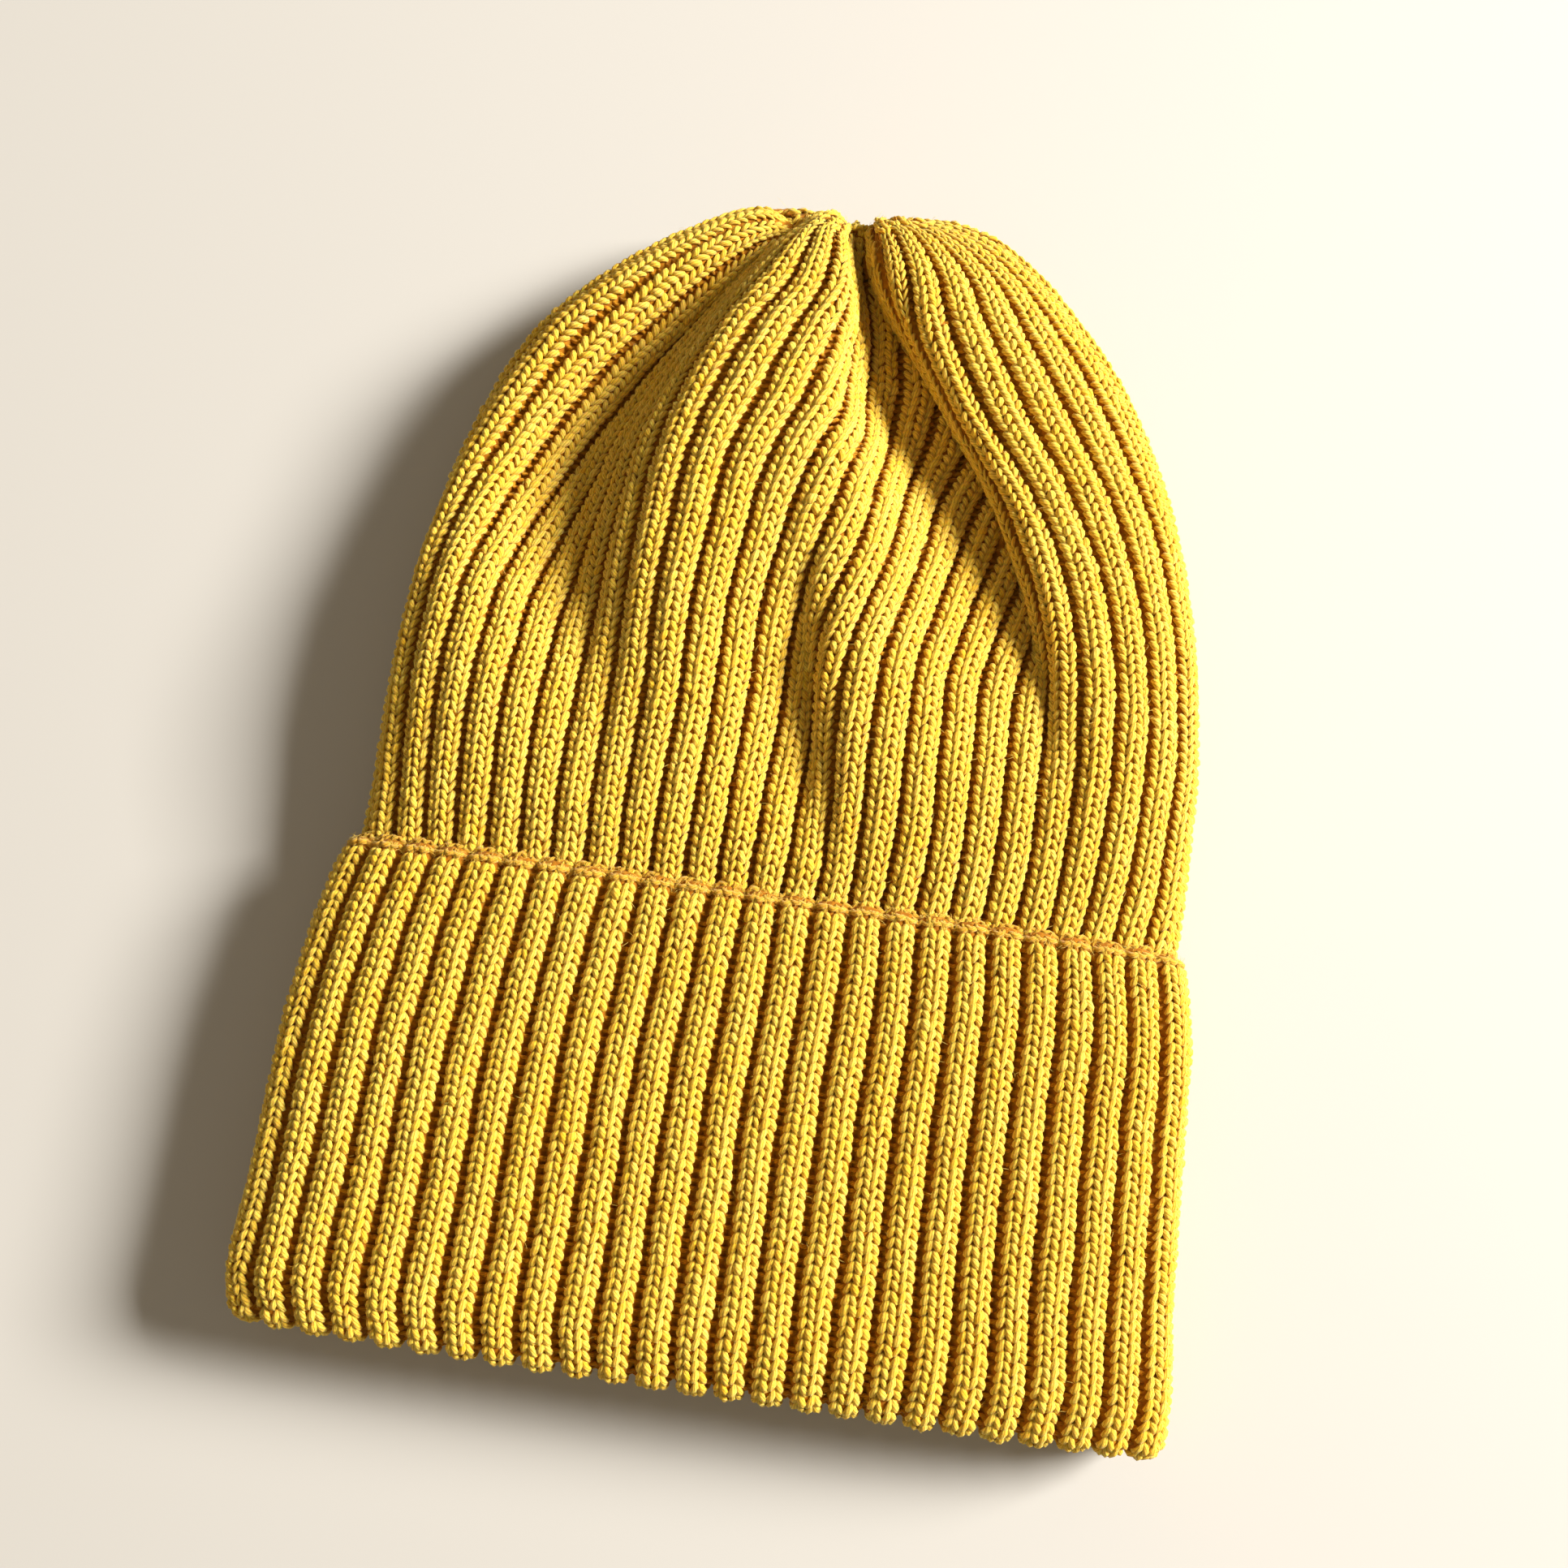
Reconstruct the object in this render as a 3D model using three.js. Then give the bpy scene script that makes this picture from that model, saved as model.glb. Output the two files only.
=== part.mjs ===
// Slouchy rib-knit beanie with a wide turned-up cuff. It lies on its back panel:
// x runs across the hat, y toward the tip of the crown, z up from the surface.
// Units are millimetres.
import * as THREE from 'three';

// Driving sizes of the knit
const ribs = 52;
const ribsInFront = 26;
const wall = 2.6;
const ribRise = 0.9;
const foldGap = 0.4;
const joinGap = 0.3;
const cuffTop = 107.0;
const cuffBottom = 2.0;
const layerStep = wall + foldGap;
const rollRadius = (wall + layerStep) / 2;
const hemY = 10.0;

// The hat's own zero is the middle of the cuff's fold. This moves it to the
// middle of the whole hat's underside.
const originShift = { x: 1.25, y: -140.69 };

// Points on each rib, in shares of a rib from its middle, and their height
const ribShape = [
  { at: -0.5, rise: -1 },
  { at: -0.21, rise: 1 },
  { at: 0.21, rise: 1 },
];
const fullRibWidth = 6.0;

const yarnColour = 0xd8a928;
const cuffColour = 0xdcae2c;

// Sections of the cuff's outside: how far left and right it reaches, its lowest
// and highest level, the level of the side folds, and how square it is
const cuffSections = table(
  ['y', 'left', 'right', 'floor', 'top', 'side', 'square'],
  [
    [2, -105.0, 103.0, 0.0, 24.5, 11.5, 3.6],
    [10, -106.2, 103.0, 0.0, 26.5, 12.0, 3.8],
    [30, -105.0, 101.4, 0.0, 27.0, 12.5, 3.8],
    [60, -104.4, 100.2, 0.0, 27.5, 13.0, 3.6],
    [85, -102.0, 99.4, 0.0, 28.0, 13.5, 3.4],
    [107, -97.4, 95.8, 0.0, 28.5, 14.0, 3.2],
  ],
);

// Sections of the crown's outside. A section is straight at the cuff and bows
// round the tip, so it has a y of its own in the middle, at the left and right.
const crownSections = table(
  ['s', 'mid', 'yLeft', 'yRight', 'left', 'right', 'floor', 'top', 'side', 'square'],
  [
    [107, 107.0, 107.0, 107.0, -93.8, 93.4, 3.0, 25.5, 13.5, 3.0],
    [122, 122.0, 122.0, 122.0, -93.8, 94.2, 0.6, 29.5, 13.5, 2.8],
    [145, 145.0, 145.5, 146.0, -94.2, 94.0, 0.0, 34.0, 14.0, 2.7],
    [168, 168.0, 170.0, 171.0, -93.2, 91.6, 0.0, 37.0, 14.5, 2.6],
    [190, 189.0, 195.0, 197.0, -89.6, 86.2, 0.0, 38.5, 15.0, 2.5],
    [210, 208.0, 218.0, 219.0, -83.4, 78.4, 0.0, 39.0, 15.5, 2.4],
    [228, 225.0, 240.0, 241.0, -72.6, 67.0, 0.0, 38.5, 16.0, 2.3],
    [244, 240.0, 257.5, 258.5, -56.4, 53.0, 0.0, 37.5, 16.0, 2.2],
    [257, 252.0, 268.5, 270.5, -41.8, 40.4, 1.0, 36.0, 16.0, 2.1],
    [267, 261.5, 275.5, 277.5, -29.6, 28.8, 3.0, 33.5, 16.0, 2.0],
    [275, 269.0, 277.5, 279.5, -20.0, 18.8, 6.5, 29.5, 16.0, 2.0],
    [281, 274.0, 276.5, 278.0, -12.5, 10.0, 10.0, 24.5, 16.0, 2.0],
    [286, 273.0, 273.5, 274.0, -6.5, 2.5, 14.0, 19.5, 16.0, 2.0],
  ],
);

// Valleys in the front of the crown. Each is near mm wide on its left and far mm
// on its right, and pulls its right bank leftward by lean. flat is how flat the
// left side's foot is: 2 is round.
const foldColumns = ['y', 'x', 'near', 'far', 'depth', 'lean', 'flat'];
const leftFold = table(foldColumns, [
  [122, -44.0, 18.0, 14.0, 0.0, 0.0, 2.0],
  [145, -48.0, 19.0, 14.5, 4.0, 0.0, 2.0],
  [165, -54.0, 20.0, 14.5, 9.5, 0.0, 2.0],
  [185, -58.5, 20.0, 14.5, 14.5, 0.5, 2.0],
  [205, -57.0, 19.0, 14.0, 17.0, 1.0, 2.0],
  [222, -51.0, 17.0, 13.0, 17.0, 1.5, 2.0],
  [241, -40.5, 13.0, 10.5, 15.0, 1.5, 2.0],
  [256, -29.5, 9.0, 7.5, 12.0, 1.0, 2.0],
  [272, -17.0, 5.0, 4.5, 8.0, 0.5, 2.0],
]);
// The right lobe leans over this one
const rightFold = table(foldColumns, [
  [112, 58.0, 20.0, 11.0, 0.0, 0.0, 2.0],
  [138, 57.5, 25.0, 10.0, 3.0, 0.0, 2.2],
  [160, 56.5, 29.0, 9.0, 7.5, 2.5, 2.6],
  [181, 52.0, 32.0, 8.5, 12.5, 5.5, 3.0],
  [204, 42.5, 33.0, 8.0, 16.0, 8.0, 3.4],
  [226, 28.5, 26.0, 8.0, 16.5, 8.0, 3.4],
  [244, 15.0, 16.5, 7.5, 15.5, 5.5, 3.2],
  [258, 4.5, 9.5, 6.0, 13.0, 3.0, 3.0],
  [272, -1.0, 5.0, 4.0, 10.0, 1.0, 2.4],
]);
// The soft dent in the middle of the front
const middleFold = table(foldColumns, [
  [114, 6.5, 18.0, 9.0, 0.0, 0.0, 2.0],
  [128, 6.0, 20.0, 8.0, 3.5, 1.0, 2.0],
  [142, 5.0, 22.0, 7.0, 7.5, 2.5, 2.0],
  [158, 2.5, 22.0, 6.5, 9.0, 3.0, 2.0],
  [174, -1.0, 19.0, 7.0, 7.0, 2.0, 2.0],
  [190, -4.5, 15.0, 8.0, 3.0, 1.0, 2.0],
  [208, -7.0, 13.0, 9.0, 0.0, 0.0, 2.0],
]);
// The right side's foot is round
const farFlat = 2.0;
// Where a fold's bank leans, and over what breadth, in widths of the fold
const bankAt = 1.3;
const bankBreadth = 1.1;
// A fold leaves this height free above the floor, and takes this share of the rest
const leastRoom = 9.0;
const roomShare = 0.92;

// Where the surfaces have a row of points. The layers in the cuff share theirs.
const cuffRows = [26, 80, 107];
const crownOuterRows = [118, 133, 149, 166, 183, 200, 216, 231, 245, 258, 270, 281];
const crownInnerRows = [138, 165, 192, 218, 242, 260];

function table(columns, rows) {
  return rows.map((row) => Object.fromEntries(columns.map((name, i) => [name, row[i]])));
}

function clamp(value, low, high) {
  return Math.min(Math.max(value, low), high);
}

function ease(from, to, value) {
  const t = clamp((value - from) / (to - from), 0, 1);
  return t * t * (3 - 2 * t);
}

// A smooth curve through points with rising x that never overshoots them
function smoothThrough(xs, ys, x) {
  const last = xs.length - 1;
  const steps = xs.slice(1).map((next, i) => next - xs[i]);
  const slopes = steps.map((step, i) => (ys[i + 1] - ys[i]) / step);
  const tangents = xs.map((_, i) => {
    if (i === 0) return slopes[0];
    if (i === last) return slopes[last - 1];
    if (slopes[i - 1] * slopes[i] <= 0) return 0;
    const before = 2 * steps[i] + steps[i - 1];
    const after = steps[i] + 2 * steps[i - 1];
    return (before + after) / (before / slopes[i - 1] + after / slopes[i]);
  });
  let i = 0;
  while (i < last - 1 && x >= xs[i + 1]) i += 1;
  const t = clamp((x - xs[i]) / steps[i], 0, 1);
  const level = (1 + 2 * t) * (1 - t) ** 2 * ys[i] + t * t * (3 - 2 * t) * ys[i + 1];
  const bend = t * (1 - t) ** 2 * tangents[i] + t * t * (t - 1) * tangents[i + 1];
  return level + bend * steps[i];
}

function sectionAt(sections, key, value) {
  const stations = sections.map((row) => row[key]);
  const names = Object.keys(sections[0]);
  return Object.fromEntries(names.map((name) => [
    name, smoothThrough(stations, sections.map((row) => row[name]), value)]));
}

// How far the folds move a point of the front, sideways and down
function foldMove(x, y, z, section) {
  const room = Math.max(z - section.floor - leastRoom, 0) * roomShare;
  const move = { x: 0, z: 0 };
  for (const rows of [leftFold, rightFold, middleFold]) {
    const fold = sectionAt(rows, 'y', y);
    const aside = x - fold.x;
    const width = aside < 0 ? fold.near : fold.far;
    const flat = aside < 0 ? fold.flat : farFlat;
    const bank = (aside / width - bankAt) / bankBreadth;
    move.z -= Math.min(fold.depth * Math.exp(-(Math.abs(aside / width) ** flat)), room);
    move.x -= fold.lean * Math.exp(-(bank ** 2));
  }
  return move;
}

// A closed section, from the left edge over the front to the right edge and
// back under it, as points that stand close together
function sectionLoop(section, folded) {
  const samples = 400;
  const backSquare = 5.0;
  const flatShare = 1.12;
  const halfWidth = (section.right - section.left) / 2;
  const middle = (section.right + section.left) / 2;
  const points = [];
  for (let i = 0; i < samples; i += 1) {
    const angle = (2 * Math.PI * i) / samples;
    const along = Math.cos(angle);
    const rise = Math.abs(Math.sin(angle)) ** (2 / section.square);
    const across = -Math.sign(along) * Math.abs(along) ** (2 / section.square);
    const x = middle + halfWidth * across;
    const edgeY = across < 0 ? section.yLeft : section.yRight;
    const y = edgeY + (section.mid - edgeY) * rise;
    if (i <= samples / 2) {
      const z = section.side + (section.top - section.side) * rise;
      const move = folded ? foldMove(x, y, z, section) : { x: 0, z: 0 };
      points.push(new THREE.Vector3(x + move.x, y, z + move.z));
    } else {
      const drop = Math.min(flatShare * Math.abs(Math.sin(angle)) ** (2 / backSquare), 1);
      points.push(new THREE.Vector3(x, y, section.side - (section.side - section.floor) * drop));
    }
  }
  return points;
}

// Turns a close loop into a function of the rib number. Ribs are equally wide
// along the front, and along the back, so the side folds stay at the sides.
function ribsAlong(loop) {
  const lengths = [0];
  for (let i = 0; i < loop.length; i += 1) {
    const next = loop[(i + 1) % loop.length];
    lengths.push(lengths[i] + loop[i].distanceTo(next));
  }
  const front = lengths[loop.length / 2];
  const total = lengths[loop.length];
  const pitch = total / ribs;
  const pointAt = (rib) => {
    const u = ((rib % ribs) + ribs) % ribs;
    const inFront = u < ribsInFront;
    const backShare = (u - ribsInFront) / (ribs - ribsInFront);
    const wanted = inFront ? (u / ribsInFront) * front : front + backShare * (total - front);
    let low = 0;
    let high = loop.length;
    while (high - low > 1) {
      const between = (low + high) >> 1;
      if (lengths[between] <= wanted) low = between;
      else high = between;
    }
    const share = (wanted - lengths[low]) / (lengths[low + 1] - lengths[low]);
    return loop[low].clone().lerp(loop[(low + 1) % loop.length], share);
  };
  return { pointAt, pitch };
}

function cuffRow(y) {
  const section = sectionAt(cuffSections, 'y', y);
  return ribsAlong(sectionLoop({ ...section, mid: y, yLeft: y, yRight: y }, false));
}

function crownRow(s) {
  return ribsAlong(sectionLoop(sectionAt(crownSections, 's', s), true));
}

// A point of a surface and its outward normal, from rows just below and above
function skin(rowAt, s) {
  const reach = 0.5;
  const ribReach = 0.3;
  const here = rowAt(s);
  const below = rowAt(s - reach);
  const above = rowAt(s + reach);
  return {
    pitch: here.pitch,
    at: (rib) => {
      const upward = above.pointAt(rib).sub(below.pointAt(rib));
      const around = here.pointAt(rib + ribReach).sub(here.pointAt(rib - ribReach));
      const outward = around.cross(upward).normalize();
      return { point: here.pointAt(rib), outward };
    },
  };
}

// A ring of points round a surface: depth below it, ribs raised by relief, and
// moved along y by the way the fabric's edge faces there
function ring(surface, depth, relief, alongY = { shift: 0, facing: 0 }) {
  const ribHeight = ribRise * relief * Math.min(surface.pitch / fullRibWidth, 1);
  const outFacing = Math.sqrt(1 - alongY.facing ** 2);
  const points = [];
  for (let rib = 0; rib < ribs; rib += 1) {
    for (const { at, rise } of ribShape) {
      const { point, outward } = surface.at(rib + at);
      point.addScaledVector(outward, -depth + rise * ribHeight * outFacing);
      point.y += alongY.shift + rise * ribHeight * alongY.facing;
      points.push(point);
    }
  }
  return points;
}

// How far the ribs of the inner layers have risen at y. They start flat at the
// join, so that the return, the hem and the cuff's wall lie close together.
function nest(y) {
  const fadeLength = 16;
  return ease(hemY, hemY + fadeLength, y);
}

function middleOf(points) {
  const sum = new THREE.Vector3();
  for (const point of points) sum.add(point);
  return sum.divideScalar(points.length);
}

// Joins rings into one closed skin. Rings run in order along the surface. The
// last meets the first, or each end closes on a middle point where one is given.
// Quads split the same way up and down, so that nested layers keep their gap.
function skinOf(rings, startPoint, endPoint) {
  const around = ribs * ribShape.length;
  const positions = [];
  for (const points of rings) for (const p of points) positions.push(p.x, p.y, p.z);
  const faces = [];
  const bands = startPoint ? rings.length - 1 : rings.length;
  for (let i = 0; i < bands; i += 1) {
    const a = i * around;
    const b = ((i + 1) % rings.length) * around;
    const climbs = rings[(i + 1) % rings.length][0].y > rings[i][0].y;
    for (let j = 0; j < around; j += 1) {
      const k = (j + 1) % around;
      if (climbs) faces.push(a + j, b + j, a + k, a + k, b + j, b + k);
      else faces.push(a + j, b + j, b + k, a + j, b + k, a + k);
    }
  }
  if (startPoint) {
    const first = positions.length / 3;
    positions.push(startPoint.x, startPoint.y, startPoint.z, endPoint.x, endPoint.y, endPoint.z);
    const lastRing = (rings.length - 1) * around;
    for (let j = 0; j < around; j += 1) {
      const k = (j + 1) % around;
      faces.push(first, j, k, first + 1, lastRing + k, lastRing + j);
    }
  }
  const geometry = new THREE.BufferGeometry();
  geometry.setAttribute('position', new THREE.Float32BufferAttribute(positions, 3));
  geometry.setIndex(faces);
  geometry.computeVertexNormals();
  return geometry;
}

// The crown: a ribbed tube that starts inside the cuff and closes in four lobes.
// Its rings run from the tip down the outside, round the hem and up the inside.
function crownGeometry() {
  const tucked = (y, depth) => ring(skin(cuffRow, y), layerStep + depth, nest(y));
  const free = (s, depth) => ring(skin(crownRow, s), depth, 1);
  const outside = [
    ...crownOuterRows.toReversed().map((s) => free(s, 0)),
    ...cuffRows.toReversed().map((y) => tucked(y, 0)),
    tucked(hemY, 0),
  ];
  const inside = [
    tucked(hemY, wall),
    tucked(cuffTop, wall),
    ...crownInnerRows.map((s) => free(s, wall)),
  ];
  return skinOf([...outside, ...inside], middleOf(outside[0]), middleOf(inside.at(-1)));
}

// The cuff: the outer wall, the roll at its foot and a short return that meets
// the crown's hem, with the thin slot between the two layers
function cuffGeometry() {
  const edgeRelief = 0.45;
  const rollSteps = 3;
  const rollY = cuffBottom + rollRadius;
  const returnEnd = hemY - joinGap;
  const slotBottom = rollY + 1.0;
  const slotDepth = (wall + layerStep) / 2;
  const wallRing = (y, depth, relief) => ring(skin(cuffRow, y), depth, relief);
  const outside = cuffRows.toReversed().map((y) => wallRing(y, 0, y === cuffTop ? edgeRelief : 1));
  const roll = [];
  const rollSkin = skin(cuffRow, rollY);
  for (let i = 0; i <= rollSteps; i += 1) {
    const turn = (Math.PI * i) / rollSteps;
    const depth = rollRadius * (1 - Math.cos(turn));
    const relief = 1 - ease(Math.PI / 2, Math.PI, turn);
    const facing = -Math.sin(turn);
    roll.push(ring(rollSkin, depth, relief, { shift: rollRadius * facing, facing }));
  }
  const inside = [
    wallRing(returnEnd, layerStep + wall, 0),
    wallRing(returnEnd, layerStep, 0),
    wallRing(slotBottom, slotDepth, 0),
    wallRing(returnEnd, wall, 0),
    ...cuffRows.map((y) => wallRing(y, wall, nest(y))),
  ];
  return skinOf([...outside, ...roll, ...inside]);
}

function piece(name, geometry, colour) {
  const material = new THREE.MeshStandardMaterial({ color: colour, roughness: 0.92, metalness: 0 });
  const mesh = new THREE.Mesh(geometry, material);
  mesh.name = name;
  return mesh;
}

const beanie = new THREE.Group();
beanie.add(piece('crown', crownGeometry(), yarnColour));
beanie.add(piece('cuff', cuffGeometry(), cuffColour));
beanie.position.set(originShift.x, originShift.y, ribRise);

export default beanie;
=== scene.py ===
import math

import bpy
import numpy as np
from mathutils import Matrix, Vector


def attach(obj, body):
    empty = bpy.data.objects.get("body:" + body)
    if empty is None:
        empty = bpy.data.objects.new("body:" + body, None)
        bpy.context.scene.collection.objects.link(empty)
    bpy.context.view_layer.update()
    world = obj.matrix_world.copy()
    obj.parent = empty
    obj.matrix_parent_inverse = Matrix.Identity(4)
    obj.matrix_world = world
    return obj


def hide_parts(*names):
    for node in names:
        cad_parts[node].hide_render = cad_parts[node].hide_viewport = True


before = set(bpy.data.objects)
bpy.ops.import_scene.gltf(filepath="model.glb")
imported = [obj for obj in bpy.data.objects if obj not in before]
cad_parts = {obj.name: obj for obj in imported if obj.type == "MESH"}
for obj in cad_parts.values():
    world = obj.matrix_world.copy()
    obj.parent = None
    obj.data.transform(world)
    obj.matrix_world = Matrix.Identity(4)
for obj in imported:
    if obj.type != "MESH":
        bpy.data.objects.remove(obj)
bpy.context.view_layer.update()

# The beanie lies on its back: x runs across it, y toward the tip, z up. The form
# is worked out in millimetres from the middle of the cuff's fold, as the part's
# source does, and goes into the shared frame at the end.
METRE = 0.001
RIBS = 52
RIBS_IN_FRONT = 26
WALL = 2.6
RIB_RISE = 0.9
FOLD_GAP = 0.4
JOIN_GAP = 0.3
CUFF_TOP = 107.0
CUFF_BOTTOM = 2.0
HEM_Y = 10.0
LAYER_STEP = WALL + FOLD_GAP
ROLL_RADIUS = (WALL + LAYER_STEP) / 2
ORIGIN_SHIFT = np.array([1.25, -140.69, RIB_RISE])

# The ribs and rows of the knit, in millimetres; GROOVE_SIDE and SEAM_WIDTH are shares
# of a rib. PER_RIB is how many points of the lattice stand across a rib, and ribs
# narrower than about MERGE_BELOW run together.
ROW_HEIGHT = 2.27
PLAIN_RIB = 7.4
PER_RIB = 24
MERGE_BELOW = 3.1
MERGE_SOFTLY = 0.4
MERGED_RIBS = (1, 2, 4)
CREST_RISE = 1.35
GROOVE_DEPTH = 1.7
GROOVE_SIDE = (0.34, 0.5)
ROUNDNESS = 7.4
SEAM_DEPTH = 0.06
SEAM_WIDTH = 0.07

CUFF_SECTIONS = (
    ("y", "left", "right", "floor", "top", "side", "square"),
    (2, -105.0, 103.0, 0.0, 24.5, 11.5, 3.6),
    (10, -106.2, 103.0, 0.0, 26.5, 12.0, 3.8),
    (30, -105.0, 101.4, 0.0, 27.0, 12.5, 3.8),
    (60, -104.4, 100.2, 0.0, 27.5, 13.0, 3.6),
    (85, -102.0, 99.4, 0.0, 28.0, 13.5, 3.4),
    (107, -97.4, 95.8, 0.0, 28.5, 14.0, 3.2),
)
CROWN_SECTIONS = (
    ("s", "mid", "y_left", "y_right", "left", "right", "floor", "top", "side", "square"),
    (107, 107.0, 107.0, 107.0, -93.8, 93.4, 3.0, 25.5, 13.5, 3.0),
    (122, 122.0, 122.0, 122.0, -93.8, 94.2, 0.6, 29.5, 13.5, 2.8),
    (145, 145.0, 145.5, 146.0, -94.2, 94.0, 0.0, 34.0, 14.0, 2.7),
    (168, 168.0, 170.0, 171.0, -93.2, 91.6, 0.0, 37.0, 14.5, 2.6),
    (190, 189.0, 195.0, 197.0, -89.6, 86.2, 0.0, 38.5, 15.0, 2.5),
    (210, 208.0, 218.0, 219.0, -83.4, 78.4, 0.0, 39.0, 15.5, 2.4),
    (228, 225.0, 240.0, 241.0, -72.6, 67.0, 0.0, 38.5, 16.0, 2.3),
    (244, 240.0, 257.5, 258.5, -56.4, 53.0, 0.0, 37.5, 16.0, 2.2),
    (257, 252.0, 268.5, 270.5, -41.8, 40.4, 1.0, 36.0, 16.0, 2.1),
    (267, 261.5, 275.5, 277.5, -29.6, 28.8, 3.0, 33.5, 16.0, 2.0),
    (275, 269.0, 277.5, 279.5, -20.0, 18.8, 6.5, 29.5, 16.0, 2.0),
    (281, 274.0, 276.5, 278.0, -12.5, 10.0, 10.0, 24.5, 16.0, 2.0),
    (286, 273.0, 273.5, 274.0, -6.5, 2.5, 14.0, 19.5, 16.0, 2.0),
)
# Three folds in the front. At each height y, x is the line of the fold and depth its
# depth. near is its width toward the left edge and far toward the right, lean is how
# far its far bank hangs over it, flat is how flat the near side's foot is, and gather
# is how much closer the ribs lie on the far bank.
LEFT_FOLD = (
    ("y", "x", "near", "far", "depth", "lean", "flat", "gather"),
    (122, -44.0, 18.0, 14.0, 0.0, 0.0, 2.0, 0.0),
    (145, -48.0, 19.0, 14.5, 4.0, 0.0, 2.0, 0.0),
    (165, -54.0, 20.0, 14.5, 9.5, 0.0, 2.0, 0.0),
    (185, -58.5, 20.0, 14.5, 14.5, 0.5, 2.0, 0.1),
    (205, -57.0, 19.0, 14.0, 19.0, 1.0, 2.0, 0.4),
    (222, -51.0, 17.0, 13.0, 20.0, 1.5, 2.0, 0.8),
    (241, -40.5, 13.0, 10.5, 17.5, 1.5, 2.0, 1.1),
    (256, -29.5, 9.0, 7.5, 12.0, 1.0, 2.0, 1.3),
    (272, -17.0, 5.0, 4.5, 8.0, 0.5, 2.0, 1.4),
)
RIGHT_FOLD = (
    ("y", "x", "near", "far", "depth", "lean", "flat", "gather"),
    (112, 58.0, 20.0, 11.0, 0.0, 0.0, 2.0, 0.0),
    (138, 57.5, 25.0, 10.0, 3.0, 0.0, 2.2, 0.0),
    (160, 56.5, 35.0, 9.0, 7.5, 4.0, 3.0, 0.0),
    (181, 54.5, 39.0, 8.5, 13.0, 11.0, 4.0, 0.4),
    (204, 48.5, 38.5, 8.0, 18.0, 16.5, 5.0, 1.2),
    (226, 36.5, 34.5, 8.0, 21.0, 19.0, 8.0, 2.6),
    (244, 20.5, 21.0, 7.5, 20.0, 15.0, 8.0, 3.2),
    (258, 6.5, 9.5, 6.0, 16.0, 8.0, 6.0, 3.0),
    (272, -1.0, 5.0, 4.0, 10.0, 1.0, 2.4, 2.4),
)
MIDDLE_FOLD = (
    ("y", "x", "near", "far", "depth", "lean", "flat", "gather"),
    (114, 6.5, 18.0, 9.0, 0.0, 0.0, 2.0, 0.0),
    (128, 6.0, 20.0, 8.0, 3.5, 1.0, 2.0, 0.0),
    (142, 5.0, 22.0, 7.0, 7.5, 2.5, 2.0, 0.0),
    (158, 2.5, 22.0, 6.5, 9.0, 3.0, 2.0, 0.0),
    (174, -1.0, 19.0, 7.0, 7.0, 2.0, 2.0, 0.0),
    (190, -4.5, 15.0, 8.0, 3.0, 1.0, 2.0, 0.0),
    (208, -7.0, 13.0, 9.0, 0.0, 0.0, 2.0, 0.0),
)
# Where a bank's lean and its gathered ribs are greatest, and how broad they are, in
# widths of the fold. FAR_FLAT is how flat the far side's foot is.
BANK_AT = 1.3
BANK_BREADTH = 1.1
GATHERED_AT = 0.6
GATHERED_BREADTH = 0.6
FAR_FLAT = 2.0
# A fold stops short of the back: LEAST_ROOM stays free, and the fold takes at most
# ROOM_SHARE of the rest
LEAST_ROOM = 9.0
ROOM_SHARE = 0.92
# How finely a section is drawn, and how square and how flat its back is
SECTION_SAMPLES = 800
BACK_SQUARE = 5.0
BACK_FLATTENED = 1.12


def rows_of(table):
    """The rows of a table as dictionaries under its column names."""
    names, *rows = table
    return [dict(zip(names, row)) for row in rows]


def ease(start, end, value):
    """0 up to start and 1 from end on, smooth between."""
    t = np.clip((value - start) / (end - start), 0.0, 1.0)
    return t * t * (3 - 2 * t)


def smooth_through(xs, ys, x):
    """A smooth curve through points with rising x that never overshoots them."""
    xs, ys = np.asarray(xs, float), np.asarray(ys, float)
    steps = np.diff(xs)
    slopes = np.diff(ys) / steps
    tangents = np.zeros(len(xs))
    tangents[0], tangents[-1] = slopes[0], slopes[-1]
    for i in range(1, len(xs) - 1):
        if slopes[i - 1] * slopes[i] > 0:
            before = 2 * steps[i] + steps[i - 1]
            after = steps[i] + 2 * steps[i - 1]
            tangents[i] = (before + after) / (before / slopes[i - 1] + after / slopes[i])
    i = np.clip(np.searchsorted(xs, x, side="right") - 1, 0, len(xs) - 2)
    t = np.clip((x - xs[i]) / steps[i], 0, 1)
    level = (1 + 2 * t) * (1 - t) ** 2 * ys[i] + t * t * (3 - 2 * t) * ys[i + 1]
    bend = t * (1 - t) ** 2 * tangents[i] + t * t * (t - 1) * tangents[i + 1]
    return level + bend * steps[i]


def section_at(sections, key, value):
    """The sizes of a section at a value of its key column."""
    rows = rows_of(sections)
    stations = [row[key] for row in rows]
    return {name: float(smooth_through(stations, [row[name] for row in rows], value))
            for name in sections[0]}


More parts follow.
